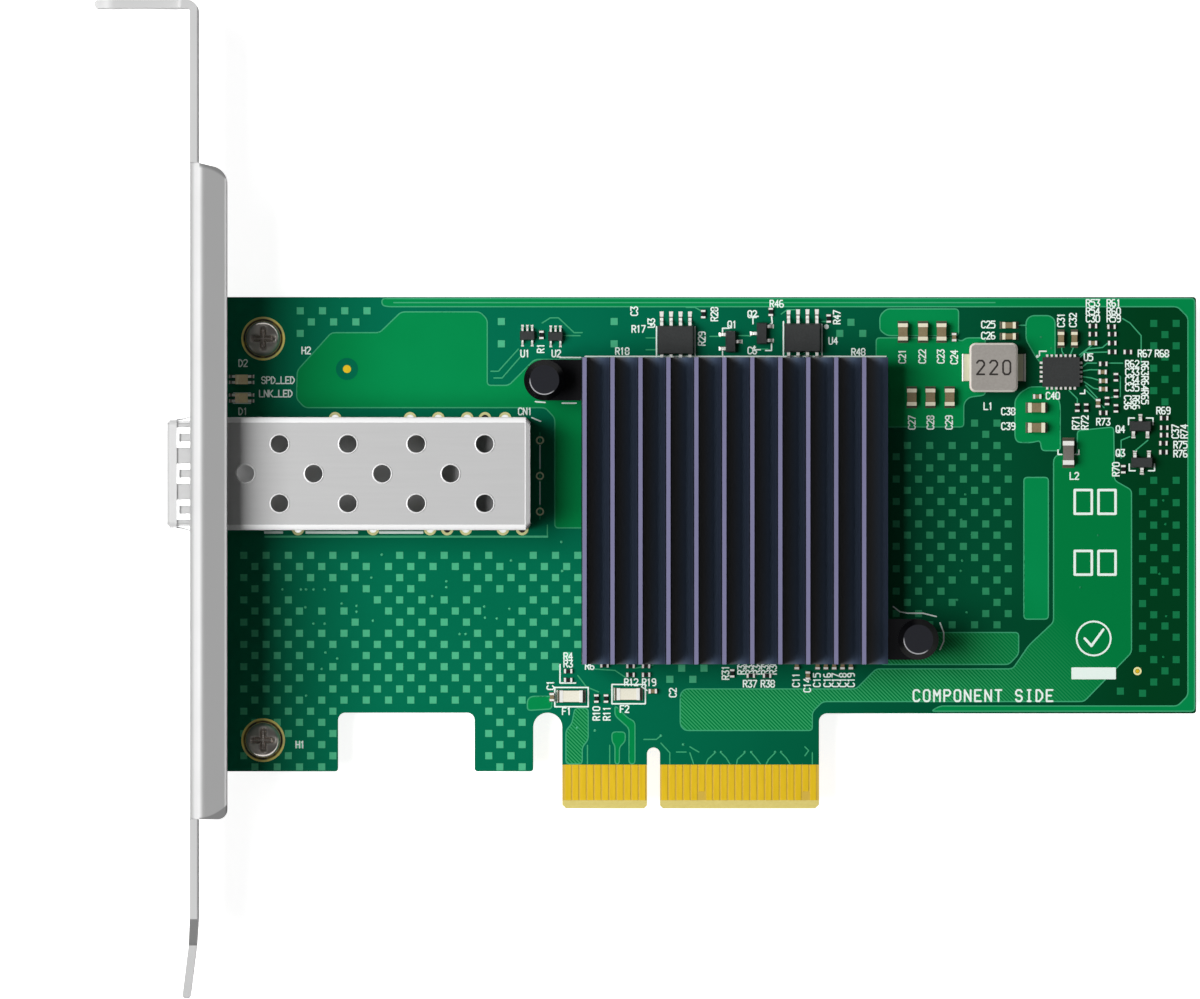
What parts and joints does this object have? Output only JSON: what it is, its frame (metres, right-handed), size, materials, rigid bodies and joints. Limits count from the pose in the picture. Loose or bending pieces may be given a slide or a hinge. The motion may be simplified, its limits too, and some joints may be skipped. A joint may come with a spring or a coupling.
{
  "type": "network interface card",
  "caption": "Green low-profile-height expansion card with a caged optical module port, a black finned heatsink on push pins, a gold card edge and a tall folded steel mounting bracket",
  "frame": {"origin": "middle of the card edge's key notch, at the tips of the contacts and at half the board's thickness", "axes": "+X from the bracket to the card's far end, +Y from the card-edge contacts to the top edge, +Z out of the component side"},
  "size_m": [0.1483, 0.1343, 0.0216],
  "materials": {
    "laminate": "green solder mask over glass-epoxy laminate",
    "gold": "gold plating",
    "zinc_steel": "zinc-plated sheet",
    "screw_steel": "nickel-plated screw",
    "nickel_sheet": "nickel-plated thin sheet",
    "spring_sheet": "spring-steel strip",
    "spring_wire": "spring wire",
    "black_plastic": "moulded, matte",
    "black_anodised": "black anodised extrusion",
    "mould_compound": "moulded epoxy",
    "grey_pad": "soft pad",
    "brown_ceramic": "fired ceramic",
    "tin": "bright tin",
    "black_glaze": "black glaze",
    "white_ceramic": "cream ceramic",
    "grey_ferrite": "fired ferrite",
    "pressed_powder": "grey pressed powder, coated",
    "lamp_resin": "tinted resin"
  },
  "bodies": {
    "root": {"circuit_board": "laminate", "edge_contacts": "gold", "mounting_rings": "gold", "mounting_bracket": "zinc_steel", "bracket_screws": "screw_steel", "cage_shell": "nickel_sheet", "cage_base": "nickel_sheet", "cage_collar": "spring_sheet", "connector_housing": "black_plastic", "connector_contacts": "gold", "heatsink": "black_anodised", "push_pins": "black_plastic", "pin_springs": "spring_wire", "controller_chip": "mould_compound", "thermal_pad": "grey_pad", "large_capacitors": "brown_ceramic", "large_capacitor_ends": "tin", "small_capacitors": "brown_ceramic", "small_capacitor_ends": "tin", "resistors": "black_glaze", "resistor_ends": "tin", "fuses": "white_ceramic", "fuse_ends": "tin", "ferrite_beads": "grey_ferrite", "ferrite_bead_ends": "tin", "memory_chips": "mould_compound", "memory_chip_leads": "tin", "logic_chips": "mould_compound", "logic_chip_leads": "tin", "transistors": "mould_compound", "transistor_leads": "tin", "inductor": "pressed_powder", "inductor_ends": "tin", "regulator": "mould_compound", "regulator_pads": "tin", "lamps": "lamp_resin", "lamp_ends": "tin"}
  },
  "joints": []
}
